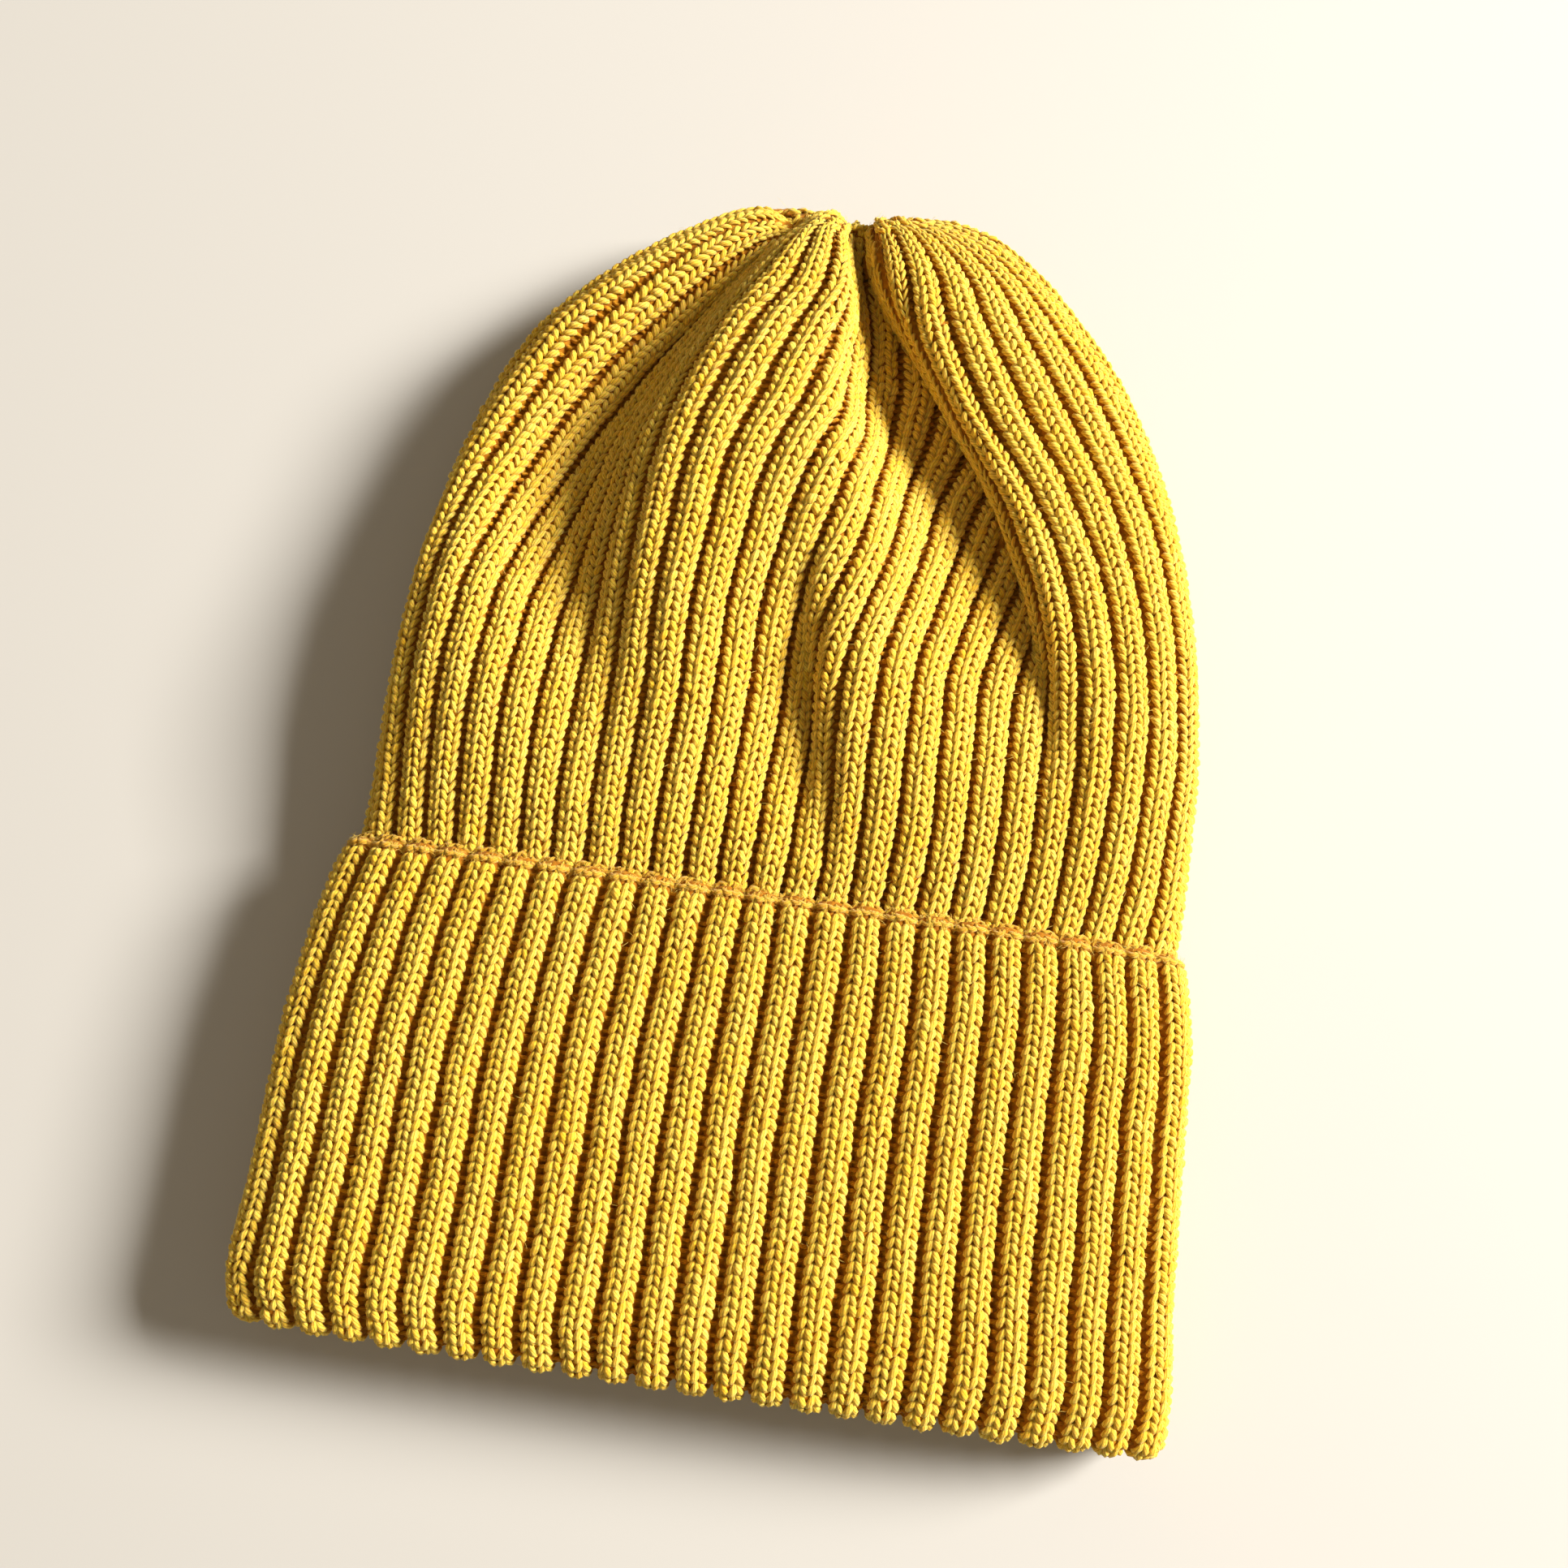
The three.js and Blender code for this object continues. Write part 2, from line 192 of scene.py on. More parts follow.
def fold_move(x, y, z, section):
    """How far the folds move points of the front, sideways and up, and how much
    closer the ribs lie there."""
    room = np.maximum(z - section["floor"] - LEAST_ROOM, 0) * ROOM_SHARE
    aside_move, up_move, closer = np.zeros_like(x), np.zeros_like(x), np.ones_like(x)
    for fold in (LEFT_FOLD, RIGHT_FOLD, MIDDLE_FOLD):
        rows = rows_of(fold)
        ys = [row["y"] for row in rows]
        middle, near, far, depth, lean, flat, gather = (
            smooth_through(ys, [row[name] for row in rows], y) for name in fold[0][1:])
        aside = x - middle
        width = np.where(aside < 0, near, far)
        bank = (aside / width - BANK_AT) / BANK_BREADTH
        steep = np.where(aside < 0, flat, FAR_FLAT)
        up_move -= np.minimum(depth * np.exp(-(np.abs(aside / width) ** steep)), room)
        aside_move -= lean * np.exp(-(bank ** 2))
        closer += gather * np.exp(-(((aside / far - GATHERED_AT) / GATHERED_BREADTH) ** 2))
    return aside_move, up_move, closer


def section_loop(section, folded):
    """A closed section, from the left edge over the front and back underneath, and
    how close its ribs lie."""
    angle = 2 * np.pi * np.arange(SECTION_SAMPLES) / SECTION_SAMPLES
    along, rising = np.cos(angle), np.abs(np.sin(angle))
    front = np.arange(SECTION_SAMPLES) <= SECTION_SAMPLES / 2
    rise = rising ** (2 / section["square"])
    across = -np.sign(along) * np.abs(along) ** (2 / section["square"])
    middle = (section["right"] + section["left"]) / 2
    x = middle + (section["right"] - section["left"]) / 2 * across
    edge_y = np.where(across < 0, section["y_left"], section["y_right"])
    y = edge_y + (section["mid"] - edge_y) * rise
    drop = np.minimum(BACK_FLATTENED * rising ** (2 / BACK_SQUARE), 1)
    side = section["side"]
    z = np.where(front, side + (section["top"] - side) * rise,
                 side - (side - section["floor"]) * drop)
    closer = np.ones(SECTION_SAMPLES)
    if folded:
        aside, up, gathered = fold_move(x, y, z, section)
        x, z = x + aside * front, z + up * front
        closer = np.where(front, gathered, 1.0)
    return np.stack([x, y, z], axis=-1), closer


def ribs_along(loop, closer, ribs):
    """Points of a loop at rib numbers. Ribs share the front, and the back, by
    length and closeness, so the side folds stay at the sides."""
    closed = np.vstack([loop, loop[:1]])
    steps = np.linalg.norm(np.diff(closed, axis=0), axis=1) * closer
    lengths = np.concatenate([[0], np.cumsum(steps)])
    front, total = lengths[len(loop) // 2], lengths[-1]
    u = np.mod(ribs, RIBS)
    back_share = (u - RIBS_IN_FRONT) / (RIBS - RIBS_IN_FRONT)
    wanted = np.where(u < RIBS_IN_FRONT, u / RIBS_IN_FRONT * front,
                      front + back_share * (total - front))
    return np.stack([np.interp(wanted, lengths, closed[:, i]) for i in range(3)], axis=-1)


def cuff_row(y, ribs):
    """Points of the cuff's middle face at height y, at rib numbers."""
    section = section_at(CUFF_SECTIONS, "y", y)
    return ribs_along(*section_loop({**section, "mid": y, "y_left": y, "y_right": y}, False), ribs)


def crown_row(s, ribs):
    """Points of the crown's middle face at station s, at rib numbers."""
    return ribs_along(*section_loop(section_at(CROWN_SECTIONS, "s", s), True), ribs)


def unit(vectors):
    return vectors / np.maximum(np.linalg.norm(vectors, axis=-1, keepdims=True), 1e-9)


def lattice_normals(points):
    """Outward normals of a closed lattice whose rows climb toward the tip."""
    around = np.roll(points, -1, axis=1) - np.roll(points, 1, axis=1)
    upward = np.gradient(points, axis=0)
    return unit(np.cross(around, upward))


ALL_COLUMNS = np.arange(RIBS * PER_RIB) / PER_RIB
BASE_NORMAL_SHARE = 0.6


def rib_profile(ribs, merged=1):
    """The height of the fabric across a rib: two soft columns and a deep groove."""
    aside = np.abs(np.mod(ribs / merged + 0.5, 1.0) - 0.5)
    groove = GROOVE_DEPTH * ease(*GROOVE_SIDE, aside) + ROUNDNESS * aside ** 2
    seam = SEAM_DEPTH * np.exp(-((aside / SEAM_WIDTH) ** 2))
    return CREST_RISE - groove - seam


class Knit:
    """A ribbed surface as a lattice over rib numbers and rows."""

    def __init__(self, base, relief):
        self.base = base
        normals = lattice_normals(base)
        around = np.roll(base, -1, axis=1) - np.roll(base, 1, axis=1)
        self.pitch = np.linalg.norm(around, axis=-1) * PER_RIB / 2
        least, most = MERGE_BELOW - MERGE_SOFTLY, MERGE_BELOW + MERGE_SOFTLY
        height = 0
        for merged in MERGED_RIBS:
            wide = self.pitch * merged
            share = ease(least, most, wide)
            if merged > 1:
                share = share * (1 - ease(least, most, wide / 2))
            profile = rib_profile(ALL_COLUMNS, merged)[None, :]
            height = height + share * np.minimum(wide / PLAIN_RIB, 1.0) * profile
        height = height * relief[:, None]
        self.points = base + normals * height[..., None]
        self.normals = unit(lattice_normals(self.points) + BASE_NORMAL_SHARE * normals)
        steps = np.linalg.norm(np.diff(base, axis=0), axis=-1)
        self.lengths = np.vstack([np.zeros(base.shape[1]), np.cumsum(steps, axis=0)])

    def at(self, ribs, rows):
        """Points, normals and rib widths at rib numbers and lattice rows."""
        column = np.mod(ribs, RIBS) * PER_RIB
        c0 = np.floor(column).astype(int) % self.base.shape[1]
        c1 = (c0 + 1) % self.base.shape[1]
        r0 = np.clip(np.floor(rows).astype(int), 0, self.base.shape[0] - 2)
        cf, rf = column - np.floor(column), rows - r0

        def blend(values):
            extra = (1,) * (values.ndim - 2)
            a, b = cf.reshape(cf.shape + extra), rf.reshape(rf.shape + extra)
            low = values[r0, c0] * (1 - a) + values[r0, c1] * a
            high = values[r0 + 1, c0] * (1 - a) + values[r0 + 1, c1] * a
            return low * (1 - b) + high * b

        return blend(self.points), unit(blend(self.normals)), blend(self.pitch)

    def stitch_rows(self, rib, start, end):
        """Lattice rows at which the stitches of a rib start, and one more."""
        lengths = self.lengths[:, int(round(rib * PER_RIB)) % self.base.shape[1]]
        rows = np.arange(len(lengths))
        low, high = np.interp([start, end], rows, lengths)
        count = max(int(round((high - low) / ROW_HEIGHT)), 1)
        return np.interp(np.linspace(low, high, count + 1), lengths, rows)


# How the ribs wander: seeded soft waves, closed round the hat
SWERVE = 0.028
WAVE_BEND = 1.4
WAVE_SUM = 3.5
dice = np.random.default_rng(41)
WAVES = [(int(dice.integers(2, 19)), dice.uniform(0.02, 0.16), *dice.uniform(0, 2 * np.pi, 2))
         for _ in range(14)]


def drift(ribs, along):
    """A soft seeded wave over the knit, between about -1 and 1, from every other wave."""
    total = 0
    for around_count, along_rate, phase, other in WAVES[::2]:
        total = total + np.sin(2 * np.pi * around_count * ribs / RIBS + phase
                               + np.sin(along_rate * along + other) * WAVE_BEND + along_rate * along)
    return total / WAVE_SUM


PRESSED_SOFTLY = 0.5
CLEAR_OF_REST = 4


def press(points):
    """Cloth is flattened where it rests: heights near the surface give way softly."""
    lifted = (points[..., 2] + RIB_RISE) / PRESSED_SOFTLY
    pressed = np.log1p(np.exp(np.minimum(lifted, CLEAR_OF_REST)))
    pressed = np.where(lifted > CLEAR_OF_REST, lifted, pressed)
    points[..., 2] = PRESSED_SOFTLY * pressed - RIB_RISE
    return points


def wander(rows, make_row, along):
    """Rows of base points whose ribs swerve a little."""
    return np.stack([make_row(row, ALL_COLUMNS + SWERVE * drift(ALL_COLUMNS, at))
                     for row, at in zip(rows, along)])


LATTICE_STEP = 1.5
FINE_STEP = 0.75
TUCKED_FROM = 86.0
FINE_FROM = 244.0
TIP_AT = 286.0
# The last rings draw in to the hub of the tip: their share of its width, how far
# they sink and their station
HUB_RINGS = ((0.75, 0.2, 286.5), (0.45, 1.2, 287.0), (0.2, 2.6, 287.5))


def crown_lattice():
    """The crown's fabric, from where it tucks into the cuff to the hub of the tip."""
    tucked = np.arange(TUCKED_FROM, CUFF_TOP - 1, LATTICE_STEP)
    free = np.concatenate([np.arange(CUFF_TOP, FINE_FROM, LATTICE_STEP),
                           np.arange(FINE_FROM, TIP_AT + 0.1, FINE_STEP)])
    under = wander(tucked, cuff_row, tucked)
    under = under - lattice_normals(under) * LAYER_STEP
    base = np.concatenate([under, wander(free, crown_row, free)])
    tip = base[-1]
    hub = tip.mean(axis=0)
    gathered = [hub + (tip - hub) * share + np.array([0, -sunk, 0]) for share, sunk, _ in HUB_RINGS]
    base = np.concatenate([base, np.stack(gathered)])
    stations = np.concatenate([tucked, free, [station for *_, station in HUB_RINGS]])
    return Knit(press(base), np.ones(len(base))), stations


ROLL_TURNS = range(165, 0, -15)
EDGE_TURNS = (50, 90, 130, 180)
EDGE_REACH = 0.8
EDGE_RELIEF = 0.5
EDGE_FADE = 4


def cuff_lattice():
    """The cuff's fabric, from the return inside round the roll to the cast-off edge."""
    wall = np.concatenate([np.arange(CUFF_BOTTOM, CUFF_TOP, LATTICE_STEP), [CUFF_TOP]])
    outer = wander(wall, cuff_row, wall)
    normal = lattice_normals(outer)
    upward = unit(np.gradient(outer, axis=0))
    centre = outer[0] - normal[0] * ROLL_RADIUS
    turns = np.radians(ROLL_TURNS)
    roll = [centre + ROLL_RADIUS * (normal[0] * np.cos(turn) - upward[0] * np.sin(turn))
            for turn in turns]
    inside = np.arange(HEM_Y - JOIN_GAP, CUFF_BOTTOM, -LATTICE_STEP)
    back = [outer[0] + (y - CUFF_BOTTOM) * upward[0] - normal[0] * 2 * ROLL_RADIUS for y in inside]
    reach = EDGE_REACH * upward[-1]
    edge = [outer[-1] + WALL / 2 * (reach * np.sin(turn) - normal[-1] * (1 - np.cos(turn)))
            for turn in np.radians(EDGE_TURNS)]
    base = np.concatenate([np.stack(back), np.stack(roll), outer, np.stack(edge)])
    roll_at = np.linspace(-CUFF_BOTTOM, CUFF_BOTTOM, len(turns) + 2)[1:-1]
    edge_at = CUFF_TOP + 1 + np.arange(len(EDGE_TURNS))
    stations = np.concatenate([-inside, roll_at, wall, edge_at])
    relief = 1 - EDGE_RELIEF * ease(CUFF_TOP - EDGE_FADE, CUFF_TOP, stations)
    return Knit(press(base), relief), stations


class Fabric:
    """Vertices, faces, face corners on the atlas and named values, gathered into one piece."""

    def __init__(self):
        self.points, self.faces, self.corners, self.values, self.count = [], [], [], {}, 0

    def add(self, points, faces, corners, **values):
        """faces and corners are lists of equal length: index arrays and their atlas places."""
        self.faces += [group + self.count for group in faces]
        self.corners += corners
        self.points.append(points)
        self.count += len(points)
        for name, value in values.items():
            self.values.setdefault(name, []).append(np.asarray(value, np.float32))

    def piece(self, name, material):
        """The finished piece, on the frame's one body."""
        points = np.concatenate(self.points)
        points[:, 2] = np.maximum(points[:, 2], -RIB_RISE)
        points = (points + ORIGIN_SHIFT) * METRE
        sizes = np.concatenate([np.full(len(group), group.shape[1]) for group in self.faces])
        mesh = bpy.data.meshes.new(name)
        mesh.vertices.add(len(points))
        mesh.vertices.foreach_set("co", points.astype(np.float32).ravel())
        mesh.loops.add(int(sizes.sum()))
        order = np.concatenate([group.ravel() for group in self.faces])
        mesh.loops.foreach_set("vertex_index", order.astype(np.int32))
        mesh.polygons.add(len(sizes))
        starts = np.concatenate([[0], np.cumsum(sizes)[:-1]])
        mesh.polygons.foreach_set("loop_start", starts.astype(np.int32))
        mesh.update(calc_edges=True)
        atlas = mesh.uv_layers.new(name="OFBake")
        places = np.concatenate([group.reshape(-1, 2) for group in self.corners]).astype(np.float32)
        atlas.uv.foreach_set("vector", places.ravel())
        for label, parts in self.values.items():
            data = np.concatenate(parts)
            kind = "FLOAT" if data.ndim == 1 else "FLOAT_VECTOR"
            layer = mesh.attributes.new(label, kind, "POINT")
            layer.data.foreach_set("value" if data.ndim == 1 else "vector", data.ravel())
        mesh.shade_smooth()
        mesh.validate()
        mesh.materials.append(material)
        made = bpy.data.objects.new(name, mesh)
        bpy.context.scene.collection.objects.link(made)
        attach(made, "root")
        return made


ATLAS_MARGIN = 0.01
CAP_DOT = 0.001


def ring_faces(rings, around, closed):
    """Faces of a skin through rings of points, and their places on the atlas."""
    last = rings if closed else rings - 1
    i, j = np.meshgrid(np.arange(last), np.arange(around), indexing="ij")
    i, j = i.ravel(), j.ravel()
    up, over = (i + 1) % rings, (j + 1) % around
    faces = np.stack([i * around + j, i * around + over, up * around + over, up * around + j], axis=-1)
    across = np.stack([j, j + 1, j + 1, j], axis=-1) / around
    along = np.stack([i, i, i + 1, i + 1], axis=-1) / max(last, 1)
    return faces, np.stack([across, ATLAS_MARGIN + (1 - 2 * ATLAS_MARGIN) * along], axis=-1)


RIB_SAMPLES = (-0.5, -0.36, 0.0, 0.36)
SKIN_RIBS = np.array([rib + aside for rib in range(RIBS) for aside in RIB_SAMPLES])
# The rib of the hidden layers: where the middle of its side is and half the width of
# that, in shares of a rib, and the rib width from which it has its full height
HIDDEN_SIDE_AT = 0.355
HIDDEN_SIDE = 0.145
HIDDEN_PITCH = 6.0


def plain_ribs(ribs):
    """The shallow rib that the hidden layers nest in."""
    aside = np.abs(np.mod(ribs + 0.5, 1.0) - 0.5)
    return RIB_RISE * np.clip((HIDDEN_SIDE_AT - aside) / HIDDEN_SIDE, -1, 1)


def layer(rows, make_row, depth):
    """Rings of a hidden face, depth below the fabric's middle face."""
    base = np.stack([make_row(row, SKIN_RIBS) for row in rows])
    normals = lattice_normals(base)
    around = np.linalg.norm(np.roll(base, -1, axis=1) - base, axis=-1).sum(axis=1) / RIBS
    height = plain_ribs(SKIN_RIBS)[None, :] * np.minimum(around / HIDDEN_PITCH, 1.0)[:, None]
    return base + normals * (height - depth)[..., None]


def rows_at(stations, wanted):
    """Lattice rows at stations along the fabric."""
    return np.interp(wanted, stations, np.arange(len(stations)))


def shown_rings(knit, stations, wanted):
    """Rings of the shown face, where the stitches lie on it."""
    ribs, rows = np.meshgrid(SKIN_RIBS, rows_at(stations, wanted))
    return knit.at(ribs, rows)[0]


def skin(name, rings, stations, closed, material):
    """One closed skin through rings; open ends get a cap."""
    fabric = Fabric()
    around = len(SKIN_RIBS)
    points = rings.reshape(-1, 3)
    faces, corners = ring_faces(len(rings), around, closed)
    groups, places = [faces], [corners]
    if not closed:
        j = np.arange(around)
        over = (j + 1) % around
        low, high = np.full(around, len(points)), np.full(around, len(points) + 1)
        top = (len(rings) - 1) * around
        groups += [np.stack([low, over, j], axis=-1), np.stack([high, top + j, top + over], axis=-1)]
        dots = np.zeros((around, 3, 2)) + (np.arange(3) * CAP_DOT)[None, :, None]
        places += [dots, dots + 1 - ATLAS_MARGIN]
        points = np.concatenate([points, [rings[0].mean(axis=0), rings[-1].mean(axis=0)]])
    across = np.tile(SKIN_RIBS, len(rings))
    upward = np.repeat(stations, around)
    if not closed:
        across, upward = np.append(across, [0, 0]), np.append(upward, [stations[0], stations[-1]])
    aside = np.abs(np.mod(across + 0.5, 1.0) - 0.5)
    fabric.add(points, groups, places, rib=across, row=upward / ROW_HEIGHT, aside=aside)
    return fabric.piece(name, material)


# One leg of a stitch: places along it, its thickness and how high it lies there. A
# plain one, for the back, has fewer places and sides. Its other sizes are shares of a
# rib, but LEG_OVERLAP is one of a row, FULL_LEG is the greatest half width in
# millimetres, and FLATTENED is its height as a share of its width.
LEG_STATIONS = np.array([0.0, 0.12, 0.36, 0.64, 0.88, 1.0])
LEG_GIRTH = np.array([0.0, 0.66, 1.0, 1.0, 0.80, 0.0])
LEG_LIFT = np.array([-0.65, -0.20, 0.42, 0.45, 0.05, -0.55])
PLAIN_STATIONS = [0, 2, 3, 5]
FULL_SIDES = 5
PLAIN_SIDES = 4
LEG_NEAR = 0.004
LEG_HALF_WIDTH = 0.097
LEG_OVERLAP = 0.27
LEG_BEND = 0.005
FULL_LEG = 0.88
FLATTENED = 0.9
# A rib wider than this has two columns of stitches, a narrower one has a broader one
TWO_COLUMNS = 4.0
BROADER = 1.7
# How unevenly the legs lie
RIB_SLIDE = 0.2
NEAR_UNEVEN = 0.010
FAR_UNEVEN = 0.013
ROW_UNEVEN = 0.07
GIRTH_UNEVEN = 0.10
CELL_MARGIN = 0.06


def plan_legs(knit, ribs, start, end, apex_up, column_at, spread):
    """Every leg of the knit stitches: two to a stitch, two stitches across a rib.
    Where ribs are drawn together, ribs merge, and a narrow rib keeps one stitch."""
    legs = []
    count = knit.base.shape[1]
    for rib in ribs:
        rows = knit.stitch_rows(rib, start, end)
        numbers = np.arange(len(rows))
        pitches = knit.pitch[:, int(rib * PER_RIB) % count]
        slide = dice.uniform(-RIB_SLIDE, RIB_SLIDE)
        for i in range(len(rows) - 1):
            pitch = float(np.interp(rows[i], np.arange(len(pitches)), pitches))
            merged = 1
            while pitch * merged < MERGE_BELOW and merged < MERGED_RIBS[-1]:
                merged *= 2
            if rib % merged:
                continue
            wide = pitch * merged
            pair = wide > TWO_COLUMNS
            columns, broader = ((-column_at, column_at), 1.0) if pair else ((0.0,), BROADER)
            for column in columns:
                for side in (-1, 1):
                    jitter = dice.normal(0, 1, 6)
                    near = (column + side * LEG_NEAR * broader + NEAR_UNEVEN * jitter[0]) * merged
                    reach = side * (LEG_NEAR + spread) * broader
                    far = (column + reach + FAR_UNEVEN * jitter[1]) * merged
                    low = i + slide - LEG_OVERLAP + ROW_UNEVEN * jitter[2]
                    high = i + slide + 1 + LEG_OVERLAP + ROW_UNEVEN * jitter[3]
                    half = min(LEG_HALF_WIDTH * broader * wide, FULL_LEG) * (1 + GIRTH_UNEVEN * jitter[4])
                    ends = np.interp([high, low] if apex_up else [low, high], numbers, rows)
                    bend = LEG_BEND * side * broader * merged
                    legs.append((rib + near, ends[0], rib + far, ends[1], half, jitter[5], bend))
    return np.array(legs)


def cells_for(number):
    """How many atlas cells stand side by side."""
    return math.ceil(math.sqrt(number))


def leg_mesh(fabric, knit, legs, sides):
    """Plump lengths of yarn with both ends tucked under their neighbours."""
    kept = slice(None) if sides > PLAIN_SIDES else PLAIN_STATIONS
    t = LEG_STATIONS[kept]
    u0, r0, u1, r1, half, tone, bend = (legs[:, i][:, None] for i in range(7))
    ribs = u0 + (u1 - u0) * t - bend * np.sin(2 * np.pi * t)
    shape = LEG_GIRTH[kept], LEG_LIFT[kept]
    lay_yarn(fabric, knit, ribs, r0 + (r1 - r0) * t, half, shape, tone[:, 0], sides)


def lay_yarn(fabric, knit, ribs, rows, half, shape, tone, sides):
    """Lengths of yarn that lie on the knit along rib numbers and rows. Shape is their
    thickness and how high they lie, each from end to end."""
    girth, lift = shape
    at, normal, _ = knit.at(ribs, rows)
    along = unit(np.gradient(at, axis=1))
    across = unit(np.cross(normal, along))
    upward = np.cross(along, across)
    centre = at + upward * (half * lift)[..., None]
    cells = 0, cells_for(len(tone))
    tubes(fabric, centre, across, upward, half * girth, tone, sides, cells, FLATTENED)


def tubes(fabric, centre, across, upward, radius, tone, sides, cells, flattened=1.0):
    """Closed tubes along rows of centres. Each has a cell of its own on the atlas:
    cells says which is the first and how many stand side by side. A tube of four
    sides has a flat one on top, and an odd one is turned by a quarter of a side."""
    first_cell, side_by_side = cells
    number, stations = centre.shape[:2]
    lengths = np.linalg.norm(np.diff(centre, axis=1), axis=-1)
    run = np.concatenate([np.zeros((number, 1)), np.cumsum(lengths, axis=1)], axis=1)
    turn = 2 * np.pi * (np.arange(sides) + 0.25 * (sides % 2) + 0.5 * (sides == PLAIN_SIDES)) / sides
    cos, sin = np.cos(turn)[:, None], np.sin(turn)[:, None]
    reach = radius[:, 1:-1, None, None]
    out = across[:, 1:-1, None] * cos + flattened * upward[:, 1:-1, None] * sin
    rings = centre[:, 1:-1, None] + reach * out
    points = np.concatenate([centre[:, :1], rings.reshape(number, -1, 3), centre[:, -1:]], axis=1)
    each = points.shape[1]
    bands = stations - 3
    i, j = (grid.ravel() for grid in np.meshgrid(np.arange(bands), np.arange(sides), indexing="ij"))
    over = (j + 1) % sides
    low, high = i * sides, (i + 1) * sides
    quads = 1 + np.stack([low + j, low + over, high + over, high + j], axis=-1)
    quad_across = np.stack([j, j + 1, j + 1, j], axis=-1) / sides
    quad_along = np.stack([i, i, i + 1, i + 1], axis=-1) + 1
    j = np.arange(sides)
    over = (j + 1) % sides
    top = 1 + bands * sides
    starts = np.stack([np.zeros(sides, int), 1 + over, 1 + j], axis=-1)
    ends = np.stack([np.full(sides, each - 1), top + j, top + over], axis=-1)
    start_across = np.stack([j + 0.5, j + 1, j], axis=-1) / sides
    end_across = np.stack([j + 0.5, j, j + 1], axis=-1) / sides
    start_along = np.tile([0, 1, 1], (sides, 1))
    end_along = np.tile([stations - 1, stations - 2, stations - 2], (sides, 1))
    cell = first_cell + np.arange(number)
    corner = np.stack([cell % side_by_side, cell // side_by_side], axis=-1)[:, None, None]
    groups, places = [], []
    for face, a, b in ((quads, quad_across, quad_along), (starts, start_across, start_along),
                       (ends, end_across, end_along)):
        groups.append((face[None] + np.arange(number)[:, None, None] * each).reshape(-1, face.shape[1]))
        place = np.stack([a, b / (stations - 1)], axis=-1)[None]
        place = (corner + CELL_MARGIN + (1 - 2 * CELL_MARGIN) * place) / side_by_side
        places.append(place.reshape(-1, face.shape[1], 2))
    turns = np.zeros((number, each, 3))
    turns[:, 1:-1, 0] = np.tile(np.cos(turn), bands + 1)
    turns[:, 1:-1, 1] = np.tile(np.sin(turn), bands + 1)
    turns[:, 0, 2], turns[:, -1, 2] = run[:, 0], run[:, -1]
    turns[:, 1:-1, 2] = np.repeat(run[:, 1:-1], sides, axis=1)
    fabric.add(points.reshape(-1, 3), groups, places, strand=turns.reshape(-1, 3),
               tone=np.repeat(tone, each))


class Link:
    """A shader socket. Plain maths on it adds the nodes that work it out."""

    def __init__(self, cloth, socket):
        self.cloth, self.socket = cloth, socket

    def __add__(self, other):
        return self.cloth.maths("ADD", self, other)

    def __sub__(self, other):
        return self.cloth.maths("SUBTRACT", self, other)

    def __mul__(self, other):
        return self.cloth.maths("MULTIPLY", self, other)

    def __pow__(self, other):
        return self.cloth.maths("POWER", self, other)

    __radd__, __rmul__ = __add__, __mul__


SHEEN_ROUGHNESS = 0.45
SHEEN_TINT = (1.0, 0.88, 0.60, 1.0)
YARN_SPECULAR = 0.3
LIGHT_THROUGH = 0.4
LIGHT_REACH = (0.7, 0.35, 0.08)


